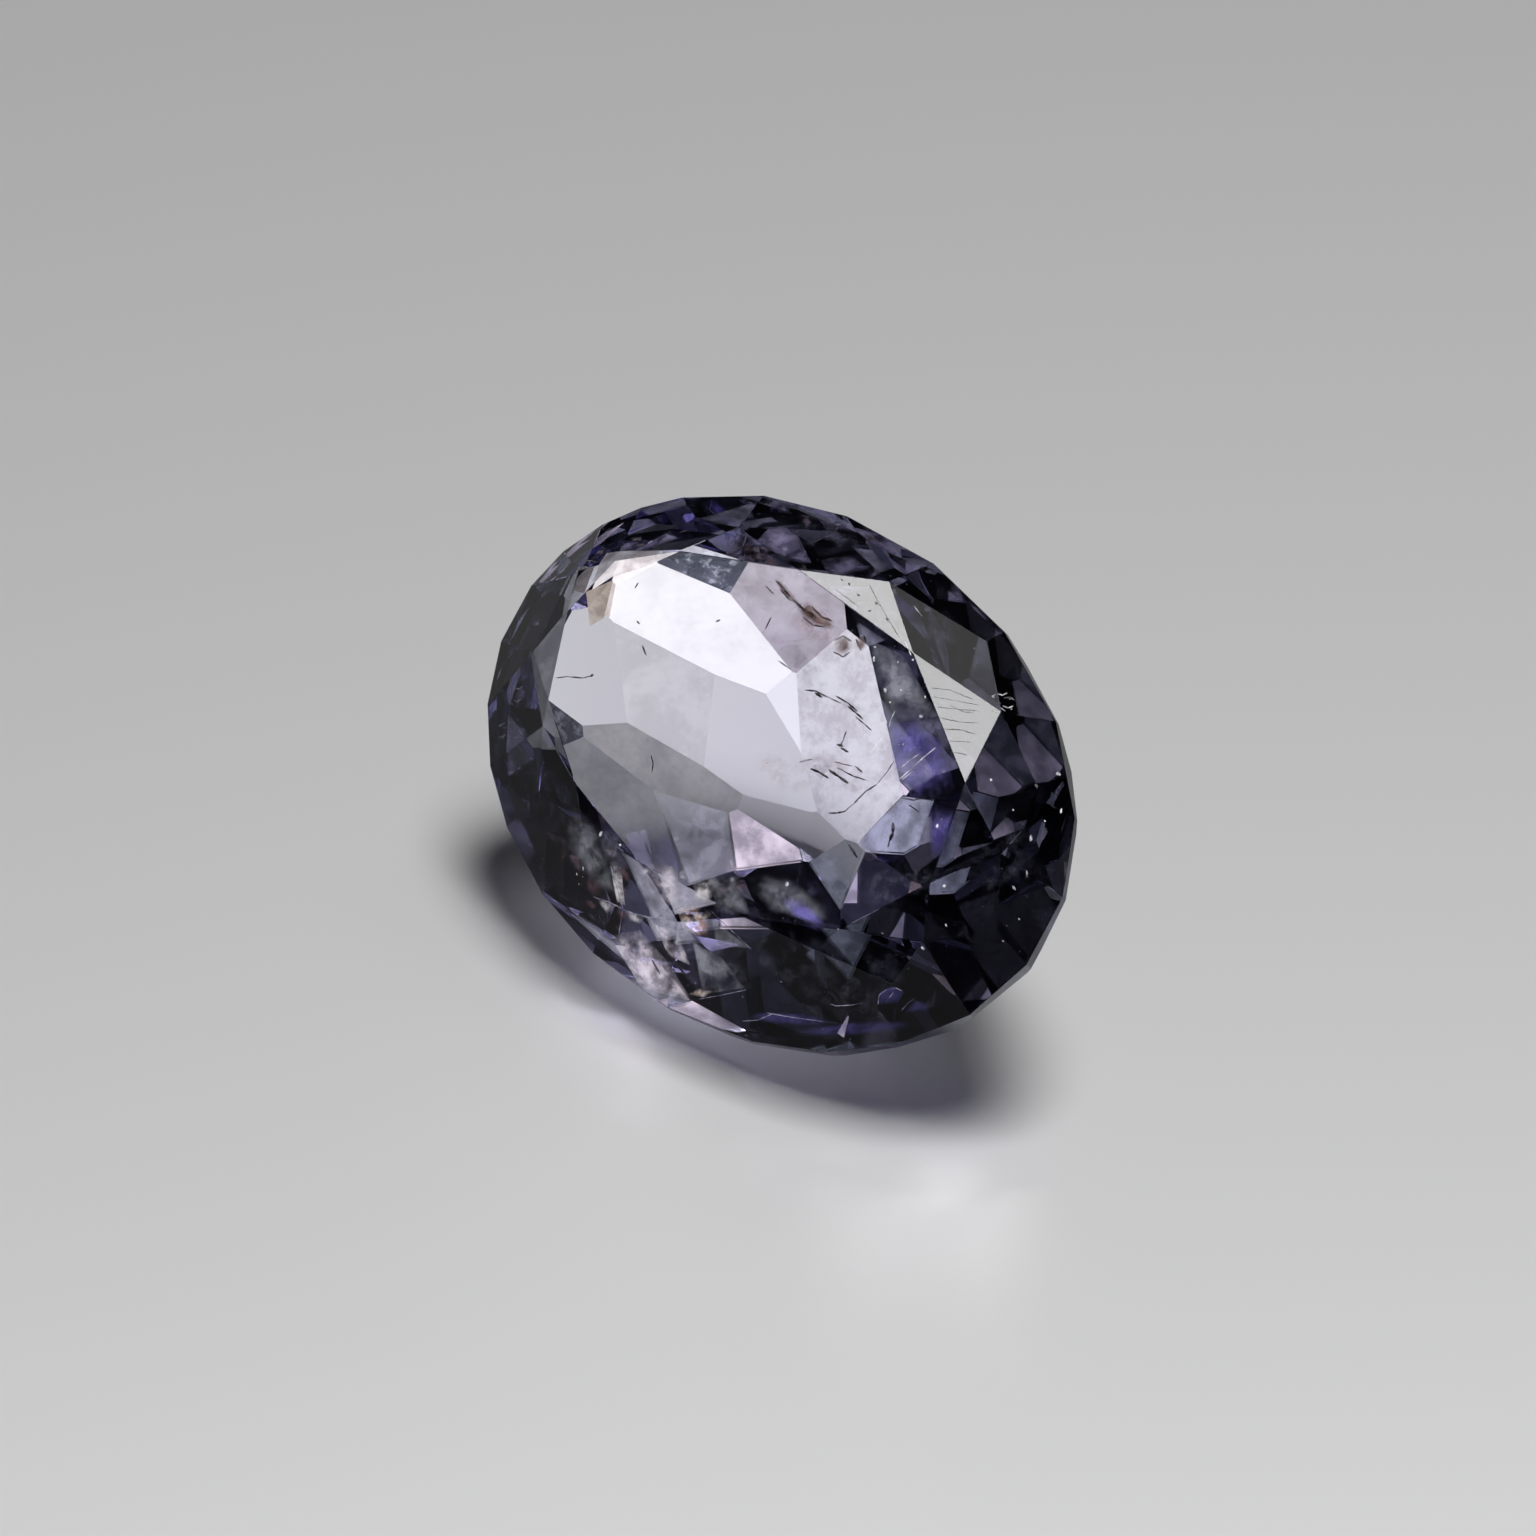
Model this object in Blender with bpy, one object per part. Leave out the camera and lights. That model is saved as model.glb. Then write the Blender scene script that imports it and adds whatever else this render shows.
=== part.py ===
"""A loose oval iolite, cut by hand: a flat table and twelve-sided crown over a tiered pavilion.

The stone is ground from a block, one flat lap for each facet, as a cutter works: the girdle, then
the crown, then the pavilion. Up to that point sizes are in millimetres in the stone's own frame,
with the table facing +Z, the long axis along X and the middle of the girdle at Z = 0. The finished
stone is then scaled to metres and laid on the pavilion facet that it rests on, on the plane Z = 0.

Directions round the stone are in degrees from +X towards +Y. The facets don't meet in perfect
points and their spacing is uneven, because the stone was cut by eye.
"""

import math

import bmesh
import bpy
from mathutils import Matrix, Vector

MILLIMETRE = 0.001

# The oval through the corners of the girdle, and how thick the girdle's edge is. It was rounded by
# eye, so its centre and long axis are a little off those of the table's oval.
GIRDLE_OVAL = {"length": 9.00, "width": 6.84, "centre": (0.015, -0.020), "turn": -0.6}
GIRDLE_THICKNESS = 0.20

# From the middle of the girdle up to the table
TABLE_HEIGHT = 1.12

# The table's corners: direction on an oval, and how far out, as a share of that oval. The inner tip
# of a kite facet meets each corner, and some kites are turned a little from facing straight out.
TABLE_OVAL = {"length": 9.00, "width": 6.54, "centre": (0.0, 0.0), "turn": 0.0}
TABLE_CORNERS = (
    (0.0, 0.700, 0.0),
    (34.0, 0.715, 0.0),
    (73.5, 0.720, -0.5),
    (110.0, 0.723, 0.0),
    (142.7, 0.738, 0.0),
    (160.5, 0.775, 0.0),
    (181.4, 0.752, 8.0),
    (209.4, 0.716, 4.0),
    (235.0, 0.675, 0.0),
    (263.8, 0.650, 0.0),
    (298.0, 0.640, 0.0),
    (326.6, 0.675, 0.0),
)

# A kite would pass this far above the girdle, so it ends short of it
KITE_LIFT = 0.12

# A star facet slopes down from each side of the table, about half as steeply as the kites beside it
STAR_SHARE = 0.56

# How far the small facets above the girdle stand off the perfect meeting points
UPPER_GIRDLE_RELIEF = 0.004

# The pavilion: direction, slope in degrees from flat, and distance from the stone's centre
CULET_FACETS = {
    "left_inner": (182.5, 27.0, 2.76),
    "upper_inner": (135.5, 25.1, 2.79),
    "right_broad": (92.0, 30.1, 2.61),
    "lower_wedge": (233.5, 25.8, 2.78),
    "culet_flat": (247.5, 18.8, 2.92),
    "right_inner": (303.5, 27.9, 2.99),
}
MAIN_FACETS = {
    "left_end": (179.5, 24.9, 2.74),
    "upper_long": (145.5, 35.7, 2.83),
    "upper_back": (123.5, 42.2, 2.80),
    "left_lower": (196.5, 35.9, 2.99),
    "lower_long": (225.0, 32.3, 2.74),
    "lower_left": (240.0, 41.6, 2.71),
    "lower_front": (240.0, 36.3, 2.69),
    "lower_bright": (242.5, 30.8, 2.73),
    "resting": (280.0, 42.6, 2.68),
    "right_lower": (343.0, 38.6, 3.00),
    "right_upper": (48.5, 31.8, 2.88),
    "right_end": (42.0, 36.7, 2.92),
}
BREAK_FACETS = {
    "back_dark": (90.5, 48.4, 2.74),
    "back_violet": (75.0, 42.4, 2.60),
    "upper_dark": (132.0, 46.0, 2.96),
    "upper_break": (147.0, 43.8, 3.13),
    "left_tan": (159.5, 41.7, 3.22),
    "left_dark": (225.0, 44.0, 3.01),
    "nose": (10.0, 42.0, 3.04),
    "nose_front": (330.0, 45.0, 3.13),
    "nose_back": (30.0, 47.0, 3.10),
}

# The steep facets under the girdle
RIM_FACETS = 16
RIM_SLOPE = 57.0
RIM_REACH = 0.985

# The facet that the stone lies on, and where the long axis then points, seen from above
RESTING_FACET = MAIN_FACETS["resting"]
LONG_AXIS_HEADING = -37.2

# The block that the stone is ground from
ROUGH_SIZE = (11.0, 9.0, 9.0)

# Cuts closer than this to a corner go through it, so that no facet is a sliver
MEET_DISTANCE = 0.005
SHORTEST_EDGE = 0.02

IOLITE_COLOR = (0.36, 0.34, 0.66, 1.0)
IOLITE_INDEX = 1.54
POLISH_ROUGHNESS = 0.02


def oval_point(oval, direction, share, height):
    """A point on an oval, or a share of the way out to it, at a height."""
    angle = math.radians(direction)
    along = share * oval["length"] / 2 * math.cos(angle)
    across = share * oval["width"] / 2 * math.sin(angle)
    turn = math.radians(oval["turn"])
    x = oval["centre"][0] + along * math.cos(turn) - across * math.sin(turn)
    y = oval["centre"][1] + along * math.sin(turn) + across * math.cos(turn)
    return Vector((x, y, height))


def outward(oval, direction, turn=0.0):
    """The level unit vector that faces out from an oval at a direction, then turned by an angle."""
    angle = math.radians(direction)
    across = math.cos(angle) / oval["length"]
    along = math.sin(angle) / oval["width"]
    facing = math.atan2(along, across) + math.radians(oval["turn"] + turn)
    return Vector((math.cos(facing), math.sin(facing), 0))


def tilted(level, slope, side):
    """A facet's normal: level is its outward direction, and side is 1 for up and -1 for down."""
    angle = math.radians(slope)
    return level * math.sin(angle) + Vector((0, 0, side * math.cos(angle)))


def pavilion_normal(facet):
    direction, slope, _ = facet
    angle = math.radians(direction)
    return tilted(Vector((math.cos(angle), math.sin(angle), 0)), slope, -1)


def plane_through(first, second, third):
    """The outward normal of the plane through three points, on a stone around the origin."""
    normal = (second - first).cross(third - first).normalized()
    if normal.dot(first) < 0:
        normal.negate()
    return normal


def meeting_point(planes):
    """Where three planes meet, each given as its normal and its distance from the origin."""
    normals = Matrix([normal for normal, _ in planes])
    return normals.inverted() @ Vector([distance for _, distance in planes])


def grind(stone, normal, distance):
    """Takes off what lies past a plane, and closes the cut with one flat facet."""
    cut = bmesh.ops.bisect_plane(
        stone,
        geom=stone.verts[:] + stone.edges[:] + stone.faces[:],
        dist=MEET_DISTANCE,
        plane_co=normal * distance,
        plane_no=normal,
        clear_outer=True,
    )
    rim = [item for item in cut["geom_cut"] if isinstance(item, bmesh.types.BMEdge) and item.is_boundary]
    bmesh.ops.edgeloop_fill(stone, edges=rim)


def rough_block():
    stone = bmesh.new()
    bmesh.ops.create_cube(stone, size=1.0)
    bmesh.ops.scale(stone, vec=Vector(ROUGH_SIZE), verts=stone.verts)
    return stone


def girdle_corners():
    """The girdle has a corner under each kite and one between each two kites."""
    kites = [corner[0] for corner in TABLE_CORNERS]
    directions = []
    for direction, following in zip(kites, kites[1:] + [kites[0] + 360]):
        directions += [direction, (direction + following) / 2]
    return [oval_point(GIRDLE_OVAL, direction, 1.0, GIRDLE_THICKNESS / 2) for direction in directions]


def grind_girdle(stone):
    corners = girdle_corners()
    for index, corner in enumerate(corners):
        edge = corners[(index + 1) % len(corners)] - corner
        normal = Vector((edge.y, -edge.x, 0)).normalized()
        grind(stone, normal, normal.dot(corner))


def kite_planes(corners, tips):
    """Each kite slopes down from a corner of the table towards the girdle."""
    planes = []
    for (direction, _, turn), corner, tip in zip(TABLE_CORNERS, corners, tips):
        level = outward(TABLE_OVAL, direction, turn)
        drop = corner.z - tip.z - KITE_LIFT
        slope = math.degrees(math.atan2(drop, level.dot(tip - corner)))
        normal = tilted(level, slope, 1)
        planes.append((normal, normal.dot(corner)))
    return planes


def fall(plane):
    """How far a plane drops for each millimetre outwards."""
    normal, _ = plane
    return math.hypot(normal.x, normal.y) / normal.z


def star_planes(corners, kites):
    """Each star slopes down from one side of the table."""
    planes = []
    for index, corner in enumerate(corners):
        following = (index + 1) % len(corners)
        side = corners[following] - corner
        mean_fall = (fall(kites[index]) + fall(kites[following])) / 2
        slope = math.degrees(math.atan(STAR_SHARE * mean_fall))
        normal = tilted(Vector((side.y, -side.x, 0)).normalized(), slope, 1)
        planes.append((normal, normal.dot(corner)))
    return planes


def grind_crown(stone):
    corners = [oval_point(TABLE_OVAL, place, share, TABLE_HEIGHT) for place, share, _ in TABLE_CORNERS]
    edge = girdle_corners()
    tips = edge[0::2]
    between = edge[1::2]
    grind(stone, Vector((0, 0, 1)), TABLE_HEIGHT)
    kites = kite_planes(corners, tips)
    stars = star_planes(corners, kites)
    for normal, distance in kites + stars:
        grind(stone, normal, distance)
    for index, middle in enumerate(between):
        following = (index + 1) % len(corners)
        apex = meeting_point((stars[index], kites[index], kites[following]))
        for tip in (tips[index], tips[following]):
            normal = plane_through(tip, middle, apex)
            grind(stone, normal, normal.dot(apex) + UPPER_GIRDLE_RELIEF)


def grind_pavilion(stone):
    for number in range(RIM_FACETS):
        direction = 360 * (number + 0.5) / RIM_FACETS
        normal = tilted(outward(GIRDLE_OVAL, direction), RIM_SLOPE, -1)
        foot = oval_point(GIRDLE_OVAL, direction, RIM_REACH, -GIRDLE_THICKNESS / 2)
        grind(stone, normal, normal.dot(foot))
    for tier in (BREAK_FACETS, MAIN_FACETS, CULET_FACETS):
        for facet in tier.values():
            grind(stone, pavilion_normal(facet), facet[2])


def cut_stone():
    stone = rough_block()
    grind_girdle(stone)
    grind_crown(stone)
    grind_pavilion(stone)
    bmesh.ops.remove_doubles(stone, verts=stone.verts, dist=SHORTEST_EDGE)
    bmesh.ops.dissolve_degenerate(stone, edges=stone.edges, dist=SHORTEST_EDGE)
    bmesh.ops.recalc_face_normals(stone, faces=stone.faces)
    bmesh.ops.scale(stone, vec=Vector((MILLIMETRE, MILLIMETRE, MILLIMETRE)), verts=stone.verts)
    return stone


def lay_down(stone):
    """Turns the resting facet to the ground and the long axis to its heading, about the box's centre."""
    turn = pavilion_normal(RESTING_FACET).rotation_difference(Vector((0, 0, -1))).to_matrix()
    long_axis = turn @ Vector((1, 0, 0))
    swing = math.radians(LONG_AXIS_HEADING) - math.atan2(long_axis.y, long_axis.x)
    rotation = Matrix.Rotation(swing, 3, "Z") @ turn
    corners = [rotation @ vertex.co for vertex in stone.data.vertices]
    middle_x = (min(c.x for c in corners) + max(c.x for c in corners)) / 2
    middle_y = (min(c.y for c in corners) + max(c.y for c in corners)) / 2
    lowest = min(c.z for c in corners)
    stone.rotation_euler = rotation.to_euler()
    stone.location = (-middle_x, -middle_y, -lowest)


def iolite_material():
    material = bpy.data.materials.new("iolite")
    material.use_nodes = True
    shader = material.node_tree.nodes["Principled BSDF"]
    shader.inputs["Base Color"].default_value = IOLITE_COLOR
    shader.inputs["Metallic"].default_value = 0.0
    shader.inputs["Roughness"].default_value = POLISH_ROUGHNESS
    shader.inputs["IOR"].default_value = IOLITE_INDEX
    shader.inputs["Transmission Weight"].default_value = 1.0
    return material


def main():
    for scene_object in list(bpy.data.objects):
        bpy.data.objects.remove(scene_object, do_unlink=True)
    collection = bpy.data.collections.new("faceted_iolite")
    bpy.context.scene.collection.children.link(collection)
    cut = cut_stone()
    mesh = bpy.data.meshes.new("stone")
    cut.to_mesh(mesh)
    cut.free()
    mesh.materials.append(iolite_material())
    stone = bpy.data.objects.new("stone", mesh)
    collection.objects.link(stone)
    lay_down(stone)


main()
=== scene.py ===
import math
import random

import bpy
from mathutils import Matrix, Vector
from mathutils.bvhtree import BVHTree


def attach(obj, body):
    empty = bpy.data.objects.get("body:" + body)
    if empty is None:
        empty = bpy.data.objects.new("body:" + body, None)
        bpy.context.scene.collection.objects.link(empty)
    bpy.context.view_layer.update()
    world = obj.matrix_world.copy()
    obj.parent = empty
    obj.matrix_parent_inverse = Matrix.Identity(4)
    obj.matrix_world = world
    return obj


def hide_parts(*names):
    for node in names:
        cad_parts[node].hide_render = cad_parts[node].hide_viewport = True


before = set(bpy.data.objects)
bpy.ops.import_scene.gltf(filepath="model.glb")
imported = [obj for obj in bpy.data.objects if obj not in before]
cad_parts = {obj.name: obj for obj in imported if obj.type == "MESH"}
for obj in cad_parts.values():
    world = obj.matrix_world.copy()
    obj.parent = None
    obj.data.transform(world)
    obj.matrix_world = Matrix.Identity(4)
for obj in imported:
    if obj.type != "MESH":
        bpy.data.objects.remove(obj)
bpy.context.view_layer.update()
print("loaded the stone's frame")

millimetre = 0.001
rng = random.Random(20)


# shader maths

class Wire:
    # one socket of a node tree, with maths written as Python expressions
    def __init__(self, tree, socket):
        self.tree = tree
        self.socket = socket

    def node(self, kind, settings=None, inputs=None, output=0):
        made = self.tree.nodes.new(kind)
        for name, value in (settings or {}).items():
            setattr(made, name, value)
        for name, value in (inputs or {}).items():
            if isinstance(value, Wire):
                self.tree.links.new(value.socket, made.inputs[name])
            else:
                made.inputs[name].default_value = value
        return Wire(self.tree, made.outputs[output])

    def maths(self, operation, first, second):
        return self.node("ShaderNodeMath", {"operation": operation}, {0: first, 1: second})

    def __add__(self, other):
        return self.maths("ADD", self, other)

    def __sub__(self, other):
        return self.maths("SUBTRACT", self, other)

    def __rsub__(self, other):
        return self.maths("SUBTRACT", other, self)

    def __mul__(self, other):
        return self.maths("MULTIPLY", self, other)


def newMaterial(name):
    material = bpy.data.materials.new(name)
    material.use_nodes = True
    tree = material.node_tree
    shader = tree.nodes["Principled BSDF"]
    return material, shader, Wire(tree, None)


def setSockets(shader, values):
    for name, value in values.items():
        if isinstance(value, Wire):
            value.tree.links.new(value.socket, shader.inputs[name])
        else:
            shader.inputs[name].default_value = value


def newGlow(name):
    # the glow shows, but no light is sampled from it
    material, shader, wire = newMaterial(name)
    material.cycles.emission_sampling = "NONE"
    return material, shader, wire


def setGlow(shader, tone, roughness, cover, glow):
    setSockets(shader, {
        "Base Color": tone,
        "Roughness": roughness,
        "Alpha": cover,
        "Emission Color": tone,
        "Emission Strength": glow,
    })


def objectPlace(wire):
    return wire.node("ShaderNodeTexCoord", output="Object")


def markOn(wire, name):
    # a number kept on the faces or corners of a mesh
    return wire.node("ShaderNodeAttribute", {"attribute_name": name}, output="Fac")


dotsPerCell = 4  # dots across one cell of the noise


def noiseOf(place, grain, detail=4.0, roughness=0.6):
    # grain is in dots for each millimetre
    return place.node("ShaderNodeTexNoise", {"noise_dimensions": "3D"}, {
        "Vector": place,
        "Scale": grain / millimetre / dotsPerCell,
        "Detail": detail,
        "Roughness": roughness,
    })


def between(wire, low, high):
    # 0 under low, 1 over high
    return wire.node("ShaderNodeMapRange", {"interpolation_type": "SMOOTHSTEP"}, {
        "Value": wire,
        "From Min": low,
        "From Max": high,
    })


def spread(share, atNone, atFull):
    # atNone where share is 0, atFull where it is 1
    return share * (atFull - atNone) + atNone


def mixed(share, first, second, way="MIX"):
    # sockets 0, 6 and 7 of a Mix node are its factor and two colours, and 2 is the colour that it gives
    return share.node("ShaderNodeMix", {"data_type": "RGBA", "blend_type": way}, {
        0: share,
        6: first,
        7: second,
    }, output=2)


def opaque(color):
    return (color[0], color[1], color[2], 1.0)


# camera

cameraSetup = {
    "target": (-0.166, 0.044, 2.703),  # mm, the point at the middle of the picture
    "elevation": 37.44,
    "roll": 7.26,
    "distance": 350.0,  # mm
    "frameWidth": 20.27,  # mm across the picture, at the target
    "pixels": 1536,
    "sensor": 36.0,  # mm
    "clip": (0.01, 10.0),  # m
}
# how wide a pixel of the photograph is at the stone, in m
pixel = cameraSetup["frameWidth"] / cameraSetup["pixels"] * millimetre


def cameraAxes():
    rise = math.radians(cameraSetup["elevation"])
    towards = Vector((0, -math.cos(rise), math.sin(rise)))
    level = Vector((1, 0, 0))
    up = towards.cross(level)
    roll = Matrix.Rotation(math.radians(cameraSetup["roll"]), 3, towards)
    return roll @ level, roll @ up, towards


def placeCamera():
    across, up, towards = cameraAxes()
    target = Vector(cameraSetup["target"]) * millimetre
    data = bpy.data.cameras.new("photoCamera")
    data.lens = cameraSetup["sensor"] * cameraSetup["distance"] / cameraSetup["frameWidth"]
    data.sensor_width = cameraSetup["sensor"]
    data.clip_start, data.clip_end = cameraSetup["clip"]
    camera = bpy.data.objects.new("photoCamera", data)
    bpy.context.scene.collection.objects.link(camera)
    turn = Matrix((across, up, towards)).transposed().to_4x4()
    camera.matrix_world = Matrix.Translation(target + towards * cameraSetup["distance"] * millimetre) @ turn
    bpy.context.scene.camera = camera


placeCamera()
print("camera placed")


# the cut stone

stoneLook = {
    "index": 1.54,
    "absorption": (0.50, 0.465, 0.75, 1.0),
    "absorptionPerMetre": 118.0,
    "sameCorner": 0.002,  # mm, corners nearer than this are merged
    "sameHeading": 0.6,  # degrees, faces whose headings differ less are one facet
    "facesUp": 0.5,  # the table is the largest facet that faces up more than this
    "edgeWear": 0.006,  # mm, how wide the worn edges of the crown are
    "crownLean": 0.05,  # edges of faces that look this far along the table's heading are worn
    "girdleLean": 0.12,  # faces that look less than this far along it, or against it, are girdle
    "flatTable": 0.985,  # faces that look this far along it are the table itself
    "sameFacet": 0.9995,  # how nearly a face's heading has to match that of a named facet
    "polish": (0.0, 0.035),  # roughness of the finest polish and of a rubbed place
    "polishGrain": 1.6,  # like every grain below, in dots for each millimetre
    "polishEdges": (0.45, 0.75),
    "groundGirdle": 0.32,
    "scratchDepth": 0.00014,  # mm
    "scratchGrain": 30.0,
    "scratchTurn": (0.3, 0.5, 0.9),  # radians
    "scratchStretch": (1.0, 0.09, 1.0),
    "pitGrain": 34.0,
    "pitShare": 0.3,  # of the depth, beside the scratches
    "pavilionShare": 0.12,  # of the depth, away from the crown
    "crownShade": (0.080, 0.086, 0.098),  # painted shade on what is seen through crown and girdle
    "crownShadePaler": (0.24, 0.25, 0.28),
    "crownGrain": 9.0,
    "crownEdges": (0.40, 0.72),
    # the deepest painted shade, near the shaded corner
    "deepestShade": (0.09, 0.09, 0.11),
    "shadedCorner": (1015, 740),  # pixels, where the photograph shows the darkest part of the crown, and the painted shade is deepest
    "shadeReach": (0.9, 2.2),  # mm, where that part starts to fade and where it ends
    "unshadedCorner": (640, 920),  # pixels, where the crown is brightest and is left clear of painted shade
    "unshadedReach": (0.7, 1.9),  # mm
    "sameNumber": 0.1,  # how near a facet's number has to be to that of its painted shade
    "fineGrain": 5,  # how many times finer the second grain of a facet's painted shade is
    "fineShare": 0.35,
}

# painted shade of single facets, each found by the place where the photograph shows it through the table
facetShades = {
    "darkSpeckled": {"seenAt": (700, 572), "dark": (0.0010, 0.0013, 0.0020), "light": (0.06, 0.07, 0.09),
                     "grain": 26.0, "edges": (0.52, 0.72)},
    "darkLeft": {"seenAt": (562, 725), "dark": (0.020, 0.024, 0.034), "light": (0.30, 0.32, 0.38),
                 "grain": 22.0, "edges": (0.50, 0.72)},
    "beige": {"seenAt": (598, 605), "dark": (0.20, 0.14, 0.11), "light": (0.36, 0.30, 0.26),
              "grain": 5.0, "edges": (0.35, 0.65)},
    "warmCorner": {"seenAt": (620, 565), "dark": (0.30, 0.24, 0.22), "light": (0.60, 0.54, 0.51),
                   "grain": 4.0, "edges": (0.30, 0.70)},
    "mauve": {"seenAt": (790, 610), "dark": (0.030, 0.022, 0.027), "light": (0.085, 0.075, 0.085),
              "grain": 4.5, "edges": (0.32, 0.66)},
    "whiteWindow": {"seenAt": (745, 640), "dark": (0.50, 0.50, 0.49), "light": (0.66, 0.66, 0.64),
                    "grain": 3.6, "edges": (0.34, 0.60)},
    "lavenderOne": {"seenAt": (700, 700), "dark": (0.74, 0.73, 0.72), "light": (1.0, 1.0, 0.98),
                    "grain": 6.0, "edges": (0.38, 0.60)},
    "lavenderTwo": {"seenAt": (620, 670), "dark": (0.60, 0.60, 0.62), "light": (0.98, 0.98, 0.97),
                    "grain": 6.0, "edges": (0.38, 0.60)},
    "speckledRight": {"seenAt": (800, 730), "dark": (0.58, 0.53, 0.57), "light": (0.98, 0.98, 1.0),
                      "grain": 9.0, "edges": (0.38, 0.60)},
    "smokyOne": {"seenAt": (660, 750), "dark": (0.44, 0.44, 0.46), "light": (0.86, 0.83, 0.80),
                 "grain": 4.5, "edges": (0.34, 0.64)},
    "smokyTwo": {"seenAt": (610, 800), "dark": (0.40, 0.43, 0.44), "light": (0.80, 0.82, 0.83),
                 "grain": 4.0, "edges": (0.34, 0.64)},
}


def deselectAll():
    if bpy.context.object and bpy.context.object.mode != "OBJECT":
        bpy.ops.object.mode_set(mode="OBJECT")
    bpy.ops.object.select_all(action="DESELECT")


def makeActive(item):
    deselectAll()
    item.select_set(True)
    bpy.context.view_layer.objects.active = item


def copyNode(node, name):
    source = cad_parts[node]
    copied = source.copy()
    copied.data = source.data.copy()
    copied.name = name
    copied.data.name = name
    copied.parent = None
    for key in list(copied.keys()):
        del copied[key]
    copied.data.materials.clear()
    bpy.context.scene.collection.objects.link(copied)
    copied.hide_render = False
    copied.hide_viewport = False
    copied.hide_set(False)
    return copied


def mergeFacets(stone):
    makeActive(stone)
    bpy.ops.object.mode_set(mode="EDIT")
    bpy.ops.mesh.select_all(action="SELECT")
    bpy.ops.mesh.remove_doubles(threshold=stoneLook["sameCorner"] * millimetre)
    bpy.ops.mesh.dissolve_limited(angle_limit=math.radians(stoneLook["sameHeading"]))
    bpy.ops.object.mode_set(mode="OBJECT")
    bpy.ops.object.shade_flat()
    print("facets:", len(stone.data.polygons))


def headingOfTable(stone):
    upwards = [face for face in stone.data.polygons if face.normal.z > stoneLook["facesUp"]]
    return max(upwards, key=lambda face: face.area).normal.copy()


def wearCrown(stone, table):
    # the sharp edges of crown and girdle are worn to narrow flats that catch the light
    shape = stone.data
    leans = [face.normal.dot(table) for face in shape.polygons]
    carried = {}
    for face, lean in zip(shape.polygons, leans):
        for key in face.edge_keys:
            carried.setdefault(key, []).append(lean)
    makeActive(stone)
    bpy.ops.object.mode_set(mode="EDIT")
    bpy.ops.mesh.select_all(action="DESELECT")
    bpy.ops.mesh.select_mode(type="EDGE")
    bpy.ops.object.mode_set(mode="OBJECT")
    for edge in shape.edges:
        edge.select = max(carried[edge.key]) > stoneLook["crownLean"]
    bpy.ops.object.mode_set(mode="EDIT")
    bpy.ops.mesh.bevel(offset=stoneLook["edgeWear"] * millimetre, segments=1, clamp_overlap=True)
    bpy.ops.object.mode_set(mode="OBJECT")
    print("facets and worn edges:", len(shape.polygons))


def markFacets(stone, table):
    # numbers on the faces that the material reads: which painted shade, and what is crown or girdle
    shape = stone.data
    girdleLean = stoneLook["girdleLean"]
    headings = [facetBehind(paintedShade["seenAt"])[0] for paintedShade in facetShades.values()]
    for name in ("paintedShade", "crown", "girdle"):
        shape.attributes.new(name, "FLOAT", "FACE")
    for face in shape.polygons:
        lean = face.normal.dot(table)
        alike = [order for order, heading in enumerate(headings, 1)
                 if face.normal.dot(heading) > stoneLook["sameFacet"]]
        shape.attributes["paintedShade"].data[face.index].value = alike[0] if alike else 0
        shape.attributes["crown"].data[face.index].value = -girdleLean < lean < stoneLook["flatTable"]
        shape.attributes["girdle"].data[face.index].value = abs(lean) < girdleLean


# where the photograph shows things

tracing = {
    "middle": (785, 775),  # pixels, the middle of the stone
    "drawnIn": 0.01,  # share of the way to the middle that a place moves each time it misses the stone
    "skin": 0.01,  # mm under the surface, where the ray through the stone starts
}


def pixelRay(place):
    across, up, towards = cameraAxes()
    middle = cameraSetup["pixels"] / 2
    target = Vector(cameraSetup["target"]) * millimetre
    seen = target + across * (place[0] - middle) * pixel - up * (place[1] - middle) * pixel
    eye = target + towards * cameraSetup["distance"] * millimetre
    return eye, (seen - eye).normalized()


def bentInwards(ray, normal):
    ratio = 1 / stoneLook["index"]
    facing = -ray.dot(normal)
    kept = math.sqrt(1 - ratio ** 2 * (1 - facing ** 2))
    return (ray * ratio + normal * (ratio * facing - kept)).normalized()


def treeOf(item):
    corners = [corner.co for corner in item.data.vertices]
    return BVHTree.FromPolygons(corners, [list(face.vertices) for face in item.data.polygons])


def onStone(place):
    # the point of the surface at this place of the photograph, its heading, and the way in
    # a place that just misses the stone is drawn in towards its middle
    point = None
    share = tracing["drawnIn"]
    while point is None:
        eye, ray = pixelRay(place)
        point, normal = stoneTree.ray_cast(eye, ray)[:2]
        place = [(1 - share) * here + share * middle for here, middle in zip(place, tracing["middle"])]
    return point, normal, bentInwards(ray, normal)


def inStone(place, depth):
    point, normal, inwards = onStone(place)
    return point + inwards * depth * millimetre, normal


def facetBehind(place):
    # heading and number of the pavilion facet that shows at this place
    point, normal, inwards = onStone(place)
    start = point + inwards * tracing["skin"] * millimetre
    return stoneTree.ray_cast(start, inwards)[1:3]


# the stone's material

def addVolume(tree):
    volume = tree.nodes.new("ShaderNodeVolumeAbsorption")
    volume.inputs["Color"].default_value = stoneLook["absorption"]
    volume.inputs["Density"].default_value = stoneLook["absorptionPerMetre"]
    tree.links.new(volume.outputs[0], tree.nodes["Material Output"].inputs["Volume"])


def awayFrom(place, corner, reach):
    # 0 near this place of the photograph, 1 far from it
    away = place.node("ShaderNodeVectorMath", {"operation": "DISTANCE"}, {
        0: place,
        1: tuple(onStone(corner)[0]),
    }, output="Value")
    near, far = reach
    return between(away, near * millimetre, far * millimetre)


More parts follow.
